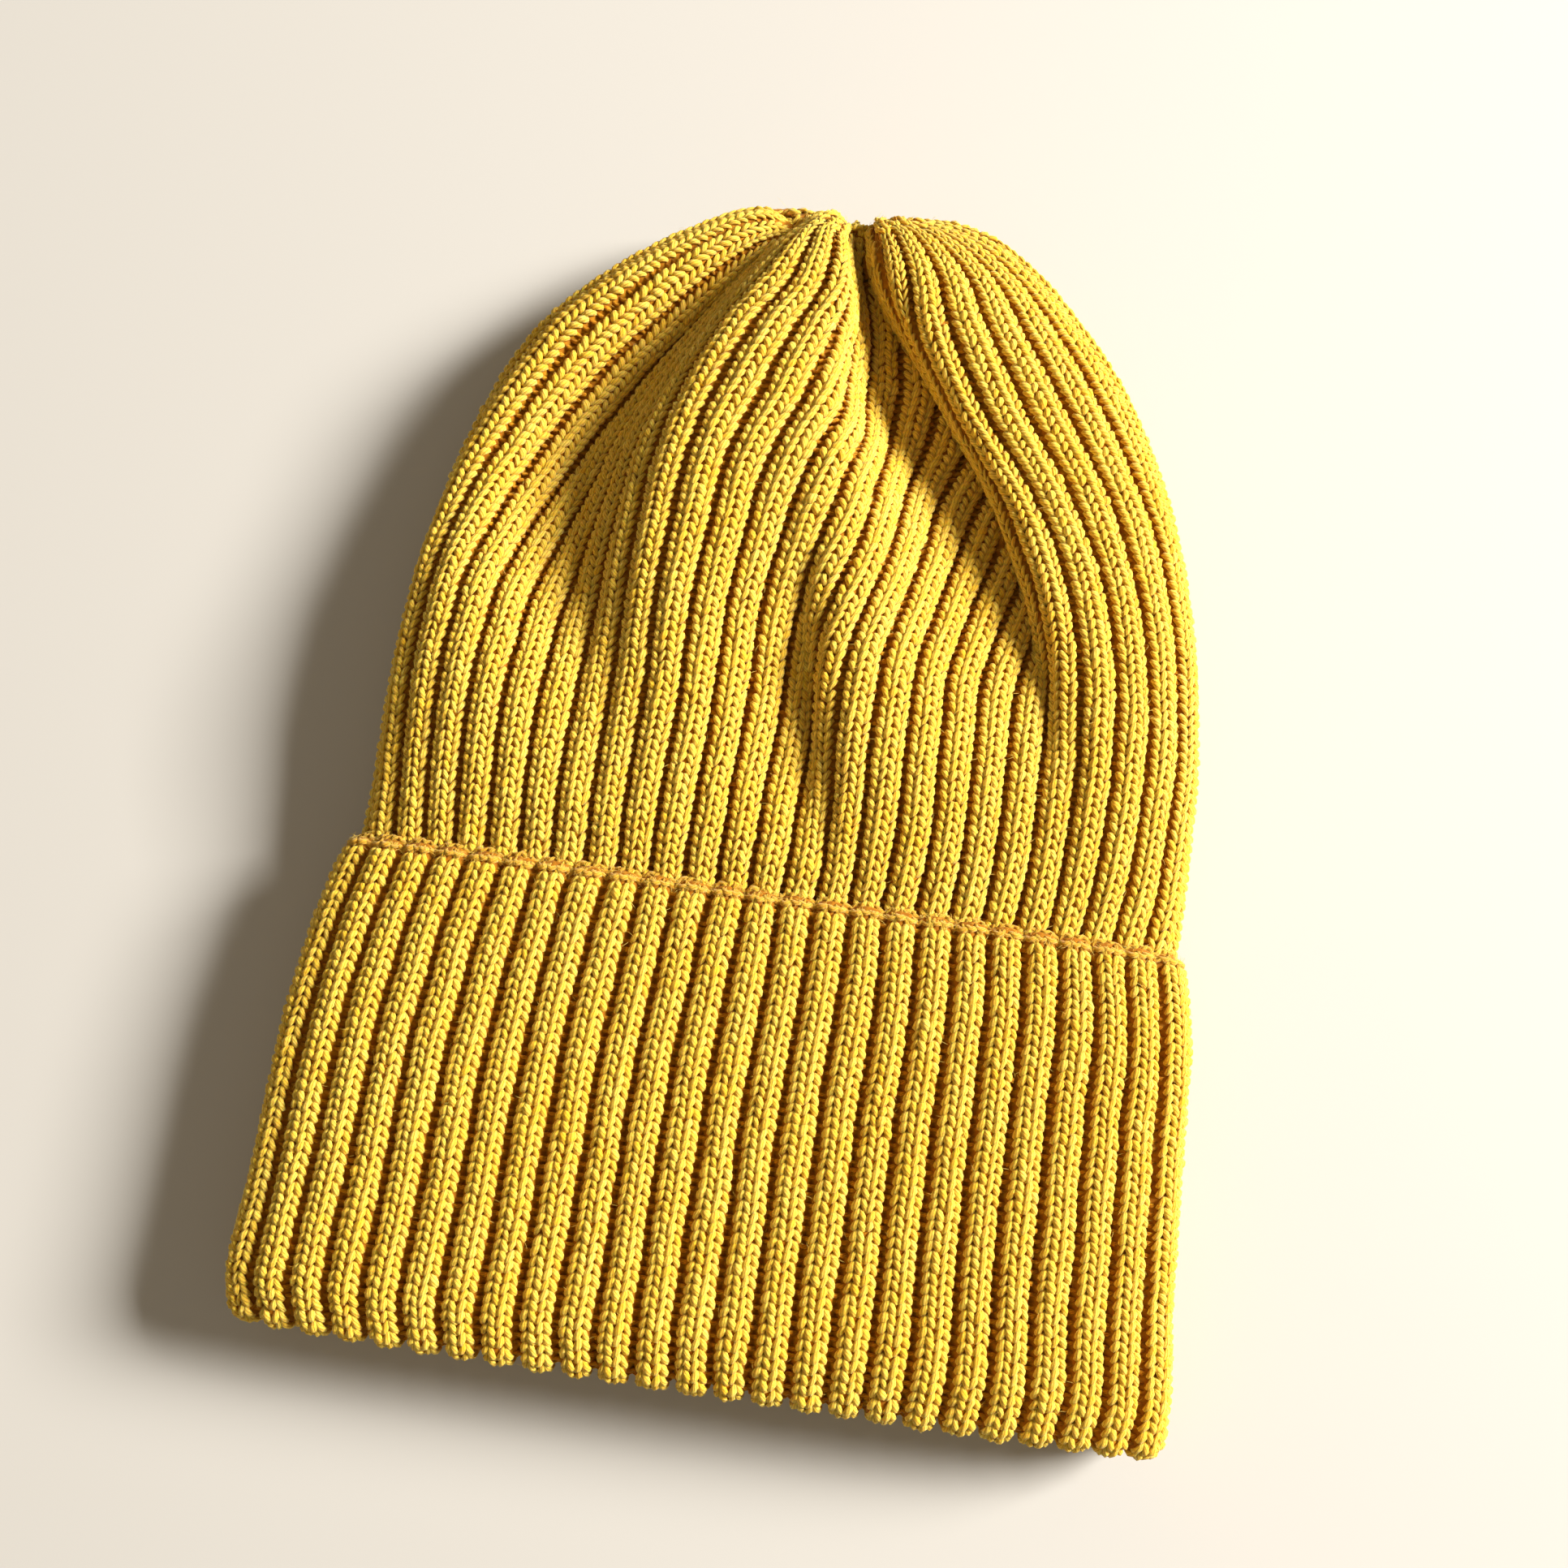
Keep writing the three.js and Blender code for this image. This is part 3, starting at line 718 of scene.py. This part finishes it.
class Cloth:
    """A material and the nodes in it."""

    def __init__(self, name):
        self.material = bpy.data.materials.new(name)
        self.material.use_nodes = True
        self.tree = self.material.node_tree
        self.tree.nodes.clear()

    def node(self, kind, settings, values, output=0):
        """Any node: its settings are set first, then the values or links of its sockets."""
        made = self.tree.nodes.new(kind)
        for name, value in settings.items():
            setattr(made, name, value)
        for name, value in values.items():
            if isinstance(value, Link):
                self.tree.links.new(value.socket, made.inputs[name])
            else:
                made.inputs[name].default_value = value
        return Link(self, made.outputs[output]) if made.outputs else None

    def maths(self, operation, *values):
        return self.node("ShaderNodeMath", {"operation": operation}, dict(enumerate(values)))

    def wave(self, angle):
        """A wave between 0 and 1."""
        return 0.5 + 0.5 * self.maths("COSINE", angle)

    def value(self, name, output="Fac"):
        return self.node("ShaderNodeAttribute", {"attribute_name": name}, {}, output)

    def parts(self, vector):
        return [self.node("ShaderNodeSeparateXYZ", {}, {"Vector": vector}, axis) for axis in "XYZ"]

    def vector(self, x, y, z):
        return self.node("ShaderNodeCombineXYZ", {}, {"X": x, "Y": y, "Z": z})

    def mottle(self, place, scale, detail=2.0, roughness=0.5):
        return self.node("ShaderNodeTexNoise", {}, {"Vector": place, "Scale": scale, "Detail": detail,
                                                    "Roughness": roughness})

    def between(self, share, low, high):
        """A colour between two others."""
        values = {0: share, 6: low, 7: high}
        return self.node("ShaderNodeMix", {"data_type": "RGBA"}, values, 2)

    def step(self, value, low, high):
        """0 below low, 1 above high, smooth between."""
        return self.node("ShaderNodeMapRange", {"interpolation_type": "SMOOTHSTEP"},
                         {"Value": value, "From Min": low, "From Max": high})

    def surface(self, colour, roughness, height, distance, sheen):
        """The material of wool with this colour and relief: light also goes through it."""
        relief = {"Strength": 1.0, "Distance": distance * METRE, "Height": height}
        shader = self.node("ShaderNodeBsdfPrincipled", {}, {
            "Base Color": colour, "Roughness": roughness, "Sheen Weight": sheen,
            "Normal": self.node("ShaderNodeBump", {}, relief), "Sheen Roughness": SHEEN_ROUGHNESS,
            "Sheen Tint": SHEEN_TINT, "Specular IOR Level": YARN_SPECULAR,
            "Subsurface Weight": LIGHT_THROUGH, "Subsurface Radius": LIGHT_REACH,
            "Subsurface Scale": METRE})
        self.node("ShaderNodeOutputMaterial", {}, {"Surface": shader})
        return self.material


# The yarn: how many plies and strands go round it, the length of a turn of its plies
# and how dark the painted shade in the lines between them is
PLIES = 6
STRANDS = 20
PLY_LAY = 11.0
PLY_ROUNDNESS = 0.6
PLY_EDGE = (0.15, 0.85)
PLY_GAP_PAINTED_SHADE = 0.62
STRAND_STRAY = 5.0
# Its fibres, with how far each leg's own twist and fibres differ from the next one's
FIBRE_SCALE = 6.5
FIBRE_STRETCH = 0.16
LEG_TURN = 2.1
LEG_APART = 3.7
PATCH_SCALE = 38.0
FUZZ_SCALE = 1500.0
# How much each part lightens or darkens the yarn
TONE_SHARE = 0.10
PATCH_SHARE = 0.5
FIBRE_SHARE = 0.9
STRAND_SHARE = 0.3
FUZZ_SHARE = 1.1
# How high each part stands
PLY_RELIEF = 0.6
STRAND_RELIEF = 0.2
FIBRE_RELIEF = 0.6
FUZZ_RELIEF = 0.7
YARN_ROUGHNESS = 0.74
FIBRE_ROUGHNESS = 0.2


def yarn(name, light, deep, ply_height, sheen):
    """Twisted plies of fine strands, each leg a little lighter or darker, with painted shade in the lines
    between the plies.
    """
    cloth = Cloth(name)
    cosine, sine, run = cloth.parts(cloth.value("strand", "Vector"))
    tone = cloth.value("tone")
    around = cloth.maths("ARCTAN2", sine, cosine) + run * (2 * math.pi / PLY_LAY) + tone * LEG_TURN
    turned = cloth.vector(cloth.maths("COSINE", around), cloth.maths("SINE", around),
                          run * FIBRE_STRETCH + tone * LEG_APART)
    fibres = cloth.mottle(turned, FIBRE_SCALE, 3.0, 0.65)
    ply = cloth.maths("ABSOLUTE", cloth.maths("COSINE", around * (PLIES / 2))) ** PLY_ROUNDNESS
    strands = cloth.wave(around * STRANDS + fibres * STRAND_STRAY)
    place = cloth.node("ShaderNodeTexCoord", {}, {}, "Object")
    patches = cloth.mottle(place, PATCH_SCALE)
    fuzz = cloth.mottle(place, FUZZ_SCALE, 4.0, 0.7)
    share = (0.5 + tone * TONE_SHARE + (patches - 0.5) * PATCH_SHARE + (fibres - 0.5) * FIBRE_SHARE
             + (strands - 0.5) * STRAND_SHARE + (fuzz - 0.5) * FUZZ_SHARE)
    colour = cloth.between(cloth.step(share, 0.0, 1.0), deep, light)
    # Painted shade: the lines between the plies get a darker copy of the deep colour
    painted_ply_gap_shade = tuple(PLY_GAP_PAINTED_SHADE * part for part in deep[:3]) + (1.0,)
    yarn_with_painted_ply_shade = cloth.between(cloth.step(ply, *PLY_EDGE), painted_ply_gap_shade, colour)
    height = ply * PLY_RELIEF + strands * STRAND_RELIEF + fibres * FIBRE_RELIEF + fuzz * FUZZ_RELIEF
    return cloth.surface(yarn_with_painted_ply_shade, YARN_ROUGHNESS + fibres * FIBRE_ROUGHNESS, height, ply_height, sheen)


def plain(name, colour, roughness):
    """A material of one colour."""
    cloth = Cloth(name)
    shader = cloth.node("ShaderNodeBsdfPrincipled", {}, {"Base Color": colour, "Roughness": roughness})
    cloth.node("ShaderNodeOutputMaterial", {}, {"Surface": shader})
    return cloth.material


# The purl side: where its grooves start across a rib, how high its bars stand and how
# much higher in the grooves, and its smaller loops, four to a rib
GROOVE_SPAN = (0.34, 0.47)
BAR_RELIEF = 0.35
MORE_IN_GROOVE = 0.65
LOOPS_PER_RIB = 4
LOOP_RELIEF = 0.25
GROUND_FIBRE_SCALE = 1400.0
GROUND_FIBRE_RELIEF = 0.3
# Painted shade: between these heights of the relief the colour goes from the deep to the light one
GROUND_PAINTED_SHADE_SPAN = (0.1, 1.1)
GROUND_ROUGHNESS = 0.9
GROUND_HEIGHT = 0.35
GROUND_SHEEN = 0.1


def ground(name, light, deep):
    """The fabric under the stitches: purl bars across the grooves, loops elsewhere. Its colour is painted
    shade: a darker copy of the yarn, deepest where the relief is low.
    """
    cloth = Cloth(name)
    row, aside, rib = cloth.value("row"), cloth.value("aside"), cloth.value("rib")
    bars = cloth.wave(row * (2 * math.pi))
    place = cloth.node("ShaderNodeTexCoord", {}, {}, "Object")
    fibres = cloth.mottle(place, GROUND_FIBRE_SCALE, 3.0, 0.6)
    groove = cloth.step(aside, *GROOVE_SPAN)
    loops = cloth.wave(rib * (2 * math.pi * LOOPS_PER_RIB))
    height = (bars * (BAR_RELIEF + groove * MORE_IN_GROOVE) + loops * LOOP_RELIEF
              + fibres * GROUND_FIBRE_RELIEF)
    # Painted shade: lower relief gets the deeper colour
    colour = cloth.between(cloth.step(height, *GROUND_PAINTED_SHADE_SPAN), deep, light)
    return cloth.surface(colour, GROUND_ROUGHNESS, height, GROUND_HEIGHT, GROUND_SHEEN)


KNIT_LIGHT, KNIT_DEEP = (0.99, 0.745, 0.14, 1.0), (0.87, 0.51, 0.008, 1.0)
EDGE_LIGHT, EDGE_DEEP = (0.86, 0.52, 0.05, 1.0), (0.64, 0.32, 0.01, 1.0)
# The purl bars are the same yarn as the knit, painted darker and deeper orange as shade for the grooves
# they lie in
PURL_PAINTED_SHADE_LIGHT, PURL_PAINTED_SHADE_DEEP = (0.72, 0.35, 0.008, 1.0), (0.52, 0.21, 0.002, 1.0)
# The fabric under the stitches is the same yarn, painted darker still as shade for the gaps and grooves
# it shows through
GROUND_PAINTED_SHADE_LIGHT, GROUND_PAINTED_SHADE_DEEP = (0.52, 0.23, 0.003, 1.0), (0.33, 0.12, 0.001, 1.0)
FIBRE_COLOUR = (0.90, 0.66, 0.13, 1.0)

knit_yarn = yarn("twisted mustard yarn", KNIT_LIGHT, KNIT_DEEP, ply_height=0.20, sheen=0.3)
edge_yarn = yarn("cast-off edge yarn", EDGE_LIGHT, EDGE_DEEP, ply_height=0.20, sheen=0.35)
purl_yarn_in_painted_shade = yarn("yarn down in the grooves in painted shade", PURL_PAINTED_SHADE_LIGHT, PURL_PAINTED_SHADE_DEEP, ply_height=0.10, sheen=0.1)
ground_knit_painted_shade = ground("purl side of the knit in painted shade", GROUND_PAINTED_SHADE_LIGHT, GROUND_PAINTED_SHADE_DEEP)
loose_fibre = plain("loose wool fibres", FIBRE_COLOUR, roughness=0.6)

crown, crown_at = crown_lattice()
cuff, cuff_at = cuff_lattice()


def stitches(name, knit, ribs, start, end, apex_up, columns, sides, slot):
    """The knit stitches of some ribs, as one piece."""
    legs = plan_legs(knit, ribs, start, end, apex_up, *columns)
    fabric = Fabric()
    leg_mesh(fabric, knit, legs, sides)
    return fabric.piece(name, knit_yarn)


# One purl bump: places along it, its thickness and how high it lies there, how far it
# reaches to each side in shares of a rib, its half width in millimetres, and how much
# it bows in shares of a row
BAR_STATIONS = np.array([0.0, 0.3, 0.7, 1.0])
BAR_GIRTH = np.array([0.0, 1.0, 1.0, 0.0])
BAR_LIFT = np.array([-0.6, 0.5, 0.5, -0.6])
BAR_REACH = 0.17
BAR_HALF_WIDTH = 0.62
BAR_BOW = 0.22
BAR_SIDE_UNEVEN = 0.015
BAR_ROW_UNEVEN = 0.12


def purl_bars(name, knit, ribs, start, end, bow, slot):
    """The bumps of the purl stitches, one to a row, across each groove."""
    bars = []
    for rib in ribs:
        rows = knit.stitch_rows(rib + 0.5, start, end)
        pitches = knit.pitch[:, int((rib + 0.5) * PER_RIB) % knit.base.shape[1]]
        for low, high in zip(rows[:-1], rows[1:]):
            if np.interp(low, np.arange(len(pitches)), pitches) < MERGE_BELOW:
                continue
            jitter = dice.normal(0, 1, 4)
            step = high - low
            middle = rib + 0.5 + BAR_SIDE_UNEVEN * jitter[0]
            row = (low + high) / 2 + BAR_ROW_UNEVEN * jitter[1] * step
            half = BAR_HALF_WIDTH * (1 + GIRTH_UNEVEN * jitter[2])
            bars.append((middle, row, step * bow, half, jitter[3]))
    middle, row, bowed, half, tone = (np.array(bars)[:, i][:, None] for i in range(5))
    across = middle + (2 * BAR_STATIONS - 1) * BAR_REACH
    along = row + bowed * np.sin(np.pi * BAR_STATIONS)
    fabric = Fabric()
    lay_yarn(fabric, knit, across, along, half, (BAR_GIRTH, BAR_LIFT), tone[:, 0], PLAIN_SIDES)
    return fabric.piece(name, purl_yarn_in_painted_shade)


# The fabric under the stitches, one closed skin to each piece, through rings at
# stations along the shown face, the face inside the hollow and the part in the cuff
SHOWN_FROM = 92.0
TUCKED_RING_STEP = 5.0
CROWN_RING_STEP = 3.8
WALL_RING_STEP = 3.5
SLOT_BOTTOM = 3.0
hub_at = [station for *_, station in HUB_RINGS]
outer_at = np.concatenate([np.arange(SHOWN_FROM, CUFF_TOP, TUCKED_RING_STEP),
                           np.arange(CUFF_TOP + 1, TIP_AT, CROWN_RING_STEP), [TIP_AT], hub_at])
inner_at = np.array([262.0, 250.0, 238.0, 225.0, 210.0, 190.0, 170.0, 150.0, 130.0, 118.0])
low_at = np.array([CUFF_TOP, 80.0, 50.0, 26.0, HEM_Y])
inner_crown = layer(inner_at[::-1], crown_row, WALL)[::-1]
inner_low = layer(low_at[::-1], cuff_row, LAYER_STEP + WALL)[::-1]
outer_low = layer(low_at[:0:-1], cuff_row, LAYER_STEP)
rings = np.concatenate([inner_crown, inner_low, outer_low, shown_rings(crown, crown_at, outer_at)])
marks = np.concatenate([inner_at, low_at, low_at[:0:-1], outer_at])
crown_ground = skin("crown_knit", rings, marks, False, ground_knit_painted_shade)
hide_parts("crown")

wall_at = np.concatenate([cuff_at[cuff_at < CUFF_BOTTOM][::2],
                          np.arange(CUFF_BOTTOM, CUFF_TOP, WALL_RING_STEP), CUFF_TOP + np.arange(4)])
down_at = np.append(low_at, SLOT_BOTTOM)
slot_at = np.array([SLOT_BOTTOM, HEM_Y - JOIN_GAP])
inner_wall = layer(down_at[::-1], cuff_row, WALL)[::-1]
slot_side = layer(slot_at, cuff_row, LAYER_STEP)
rings = np.concatenate([shown_rings(cuff, cuff_at, wall_at), inner_wall, slot_side])
marks = np.concatenate([wall_at, down_at, slot_at])
cuff_ground = skin("cuff_knit", rings, marks, True, ground_knit_painted_shade)
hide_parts("cuff")

# The knit stitches, lobe by lobe. Columns gives where a rib's two columns stand
# and how far their legs spread, in shares of a rib.
CROWN_COLUMNS = (0.200, 0.174)
CUFF_COLUMNS = (0.190, 0.166)
CROWN_PARTS = (("left", range(0, 9)), ("front", range(9, 18)), ("right", range(18, 27)),
               ("back", range(27, RIBS)))
CUFF_PARTS = (("left", range(0, 13)), ("right", range(13, 27)), ("back", range(27, RIBS)))
FRONT_GROOVES = range(-1, 27)
crown_span = rows_at(crown_at, [99.0, TIP_AT])
cuff_span = rows_at(cuff_at, [-8.5, CUFF_TOP - 1])
for part, ribs in CROWN_PARTS:
    sides = PLAIN_SIDES if part == "back" else FULL_SIDES
    stitches("crown_stitches_" + part, crown, ribs, *crown_span, False, CROWN_COLUMNS, sides, "rib_knit")
for part, ribs in CUFF_PARTS:
    sides = PLAIN_SIDES if part == "back" else FULL_SIDES
    stitches("cuff_stitches_" + part, cuff, ribs, *cuff_span, True, CUFF_COLUMNS, sides, "cuff_knit")
purl_bars("crown_purl_bars", crown, FRONT_GROOVES, *crown_span, BAR_BOW, "rib_knit")
purl_bars("cuff_purl_bars", cuff, FRONT_GROOVES, *cuff_span, -BAR_BOW, "cuff_knit")

# The cast-off edge of the cuff: a chain of links along it, four to a rib, and a
# small fan of strands that draws each knit column together below
LINK_STATIONS = np.array([0.0, 0.2, 0.55, 0.85, 1.0])
LINK_GIRTH = np.array([0.0, 0.8, 1.0, 0.85, 0.0])
LINK_LIFT = np.array([-0.6, 0.1, 0.5, 0.3, -0.5])
LINKS_PER_RIB = 4
LINK_LENGTH = 0.40
LINK_FROM = 107.6
LINK_SIDES_AT = (106.3, 109.2)
LINK_ARC = 0.9
LINK_HALF_WIDTH = 0.72
FAN_STRANDS = 4
FAN_FROM = 104.3
FAN_HEIGHT = 3.3
FAN_FOOT = 0.012
FAN_HEAD = 0.115
FAN_CURVE = 1.3
FAN_HALF_WIDTH = 0.36
EDGE_GIRTH_UNEVEN = 0.12
# How unevenly a link starts, reaches out and stands, and a strand's foot, head and rise
LINK_UNEVEN = np.array([0.12, 0.15, 0.02])
FAN_UNEVEN = np.array([0.006, 0.01, 0.3])


def cuff_edge():
    """The chain and the fans under it, as one piece."""
    t = LINK_STATIONS
    links = []
    for place in np.arange(RIBS * LINKS_PER_RIB) / LINKS_PER_RIB:
        for side_at in LINK_SIDES_AT:
            jitter = dice.normal(0, 1, 5)
            moved = LINK_UNEVEN * jitter[:3]
            start, end = LINK_FROM + moved[0], side_at + moved[1]
            ribs = place + moved[2] + LINK_LENGTH * t
            bowed = start + (end - start) * np.sin(np.pi * t * LINK_ARC)
            half = LINK_HALF_WIDTH * (1 + EDGE_GIRTH_UNEVEN * jitter[3])
            links.append((ribs, bowed, half, jitter[4]))
    for rib in range(RIBS):
        for column in CUFF_COLUMNS[0] * np.array([-1, 1]):
            for strand in np.linspace(-1, 1, FAN_STRANDS):
                jitter = dice.normal(0, 1, 4)
                moved = FAN_UNEVEN * jitter[:3]
                foot = rib + column + FAN_FOOT * strand + moved[0]
                head = rib + column + (FAN_HEAD + moved[1]) * strand
                ribs = foot + (head - foot) * t ** FAN_CURVE
                raised = FAN_FROM + moved[2] + FAN_HEIGHT * t
                half = FAN_HALF_WIDTH * (1 + EDGE_GIRTH_UNEVEN * jitter[3])
                links.append((ribs, raised, half, jitter[3]))
    ribs, stations, half, tone = (np.array([link[i] for link in links]) for i in range(4))
    fabric = Fabric()
    rows = rows_at(cuff_at, stations)
    lay_yarn(fabric, cuff, ribs, rows, half[:, None], (LINK_GIRTH, LINK_LIFT), tone, FULL_SIDES)
    return fabric.piece("cuff_edge", edge_yarn)


cuff_edge()

# Loose fibres that stand off the yarn. Each field of them has its fabric, how many
# there are, the stations between which they start and how long they are.
FIBRE_STATIONS = np.linspace(0, 1, 4)
FIBRE_RADIUS = np.array([0.0, 0.036, 0.034, 0.0])
FIBRE_SIDES = 3
FIBRE_FOOT = 0.15
FIBRE_RISE = 0.7
FIBRE_RISES = (0.4, 1.3)
FIBRE_ARC = 0.8
FIBRE_LEANS = (-0.6, 0.7)
FIBRE_CURL = 0.5
FIBRE_GIRTHS = (0.75, 1.2)
FIBRE_RIBS = (-3.0, 29.0)
FIBRE_FIELDS = ((crown, crown_at, 2500, (106.0, TIP_AT), (0.9, 3.2)),
                (cuff, cuff_at, 1400, (-1.5, CUFF_TOP), (0.9, 3.2)),
                (cuff, cuff_at, 900, (105.5, 108.6), (0.8, 2.6)))


def fibres_on(fabric, knit, ribs, rows, lengths, cells):
    """Thin curled fibres from places on the knit, in any direction along it."""
    number = len(ribs)
    at, normal, _ = knit.at(ribs, rows)
    heading = dice.uniform(0, 2 * np.pi, number)
    other = unit(np.cross(normal, np.array([0.0, 1.0, 0.3])))
    third = np.cross(normal, other)
    way = other * np.cos(heading)[:, None] + third * np.sin(heading)[:, None]
    bend = np.cross(normal, way) * (dice.normal(0, FIBRE_CURL, number) * lengths)[:, None]
    t = FIBRE_STATIONS[None, :, None]
    lift = (FIBRE_RISE * dice.uniform(*FIBRE_RISES, number))[:, None, None]
    lean = dice.uniform(*FIBRE_LEANS, number)[:, None, None]
    raised = FIBRE_FOOT + lift * (np.sin(np.pi * FIBRE_ARC * t) + lean * t ** 2)
    centre = (at[:, None] + way[:, None] * lengths[:, None, None] * t + bend[:, None] * t ** 2
              + normal[:, None] * raised)
    along = unit(np.gradient(centre, axis=1))
    across = unit(np.cross(normal[:, None], along))
    upward = np.cross(along, across)
    radius = FIBRE_RADIUS * dice.uniform(*FIBRE_GIRTHS, (number, 1))
    tubes(fabric, centre, across, upward, radius, dice.normal(0, 1, number), FIBRE_SIDES, cells)


def stray_fibres():
    """All the loose fibres, as one piece."""
    side_by_side = cells_for(sum(count for _, _, count, _, _ in FIBRE_FIELDS))
    first = 0
    fabric = Fabric()
    for knit, stations, count, span, reach in FIBRE_FIELDS:
        ribs, rows = dice.uniform(*FIBRE_RIBS, count), rows_at(stations, dice.uniform(*span, count))
        fibres_on(fabric, knit, ribs, rows, dice.uniform(*reach, count), (first, side_by_side))
        first += count
    return fabric.piece("stray_fibres", loose_fibre)


stray_fibres()

# The floor, the light and the camera
FLOOR_SIZE = 3.0
FLOOR_CORNERS = ((-0.5, -0.5), (0.5, -0.5), (0.5, 0.5), (-0.5, 0.5))
FLOOR_GREY = (0.56, 0.56, 0.56, 1.0)
floor_mesh = bpy.data.meshes.new("floor")
corners = [(x * FLOOR_SIZE, y * FLOOR_SIZE, 0) for x, y in FLOOR_CORNERS]
floor_mesh.from_pydata(corners, [], [(0, 1, 2, 3)])
floor = bpy.data.objects.new("floor", floor_mesh)
bpy.context.scene.collection.objects.link(floor)
floor_mesh.materials.append(plain("pale floor", FLOOR_GREY, roughness=0.7))


def soft_light(name, place, size, watts, colour):
    """A square light aimed at the middle of the hat."""
    light = bpy.data.lights.new(name, "AREA")
    light.shape, light.size, light.energy, light.color = "SQUARE", size, watts, colour
    made = bpy.data.objects.new(name, light)
    made.location = place
    made.rotation_euler = (-Vector(place)).to_track_quat("-Z", "Y").to_euler()
    bpy.context.scene.collection.objects.link(made)


ROOM_COLOUR = (1.0, 0.80, 0.54, 1.0)
ROOM_BRIGHTNESS = 0.20
soft_light("key_light", (2.40, 0.95, 1.50), size=1.0, watts=255.0, colour=(1.0, 0.94, 0.84))
soft_light("fill_light", (-0.7, -0.5, 1.4), size=1.6, watts=2.6, colour=(1.0, 0.86, 0.66))
world = bpy.data.worlds.new("soft_room")
bpy.context.scene.world = world
world.use_nodes = True
room = world.node_tree.nodes["Background"].inputs
room["Color"].default_value = ROOM_COLOUR
room["Strength"].default_value = ROOM_BRIGHTNESS
bpy.context.scene.view_settings.view_transform = "Standard"

# The camera stands off from AIM by CAMERA_REACH, in the source's millimetres. It leans
# toward the mouth, and TURNED is the cosine and sine of its turn about the upright.
CAMERA_LENS = 39.13
SENSOR_WIDTH = 36.0
CAMERA_REACH = 415.8
CAMERA_TILT = math.radians(9.3)
AIM = np.array([-0.45, 137.87, -RIB_RISE])
TURNED = (0.9894, 0.1452)
cos_tilt, sin_tilt = math.cos(CAMERA_TILT), math.sin(CAMERA_TILT)
right = np.array([TURNED[0], TURNED[1], 0.0])
up = np.array([-TURNED[1] * cos_tilt, TURNED[0] * cos_tilt, sin_tilt])
back = np.array([TURNED[1] * sin_tilt, -TURNED[0] * sin_tilt, cos_tilt])
camera_data = bpy.data.cameras.new("camera")
camera_data.lens, camera_data.sensor_width = CAMERA_LENS, SENSOR_WIDTH
camera = bpy.data.objects.new("camera", camera_data)
place = (AIM + ORIGIN_SHIFT + CAMERA_REACH * back) * METRE
turned = np.stack([right, up, back], axis=1)
camera.matrix_world = Matrix([[*row, at] for row, at in zip(turned, place)] + [[0, 0, 0, 1]])
bpy.context.scene.collection.objects.link(camera)
bpy.context.scene.camera = camera
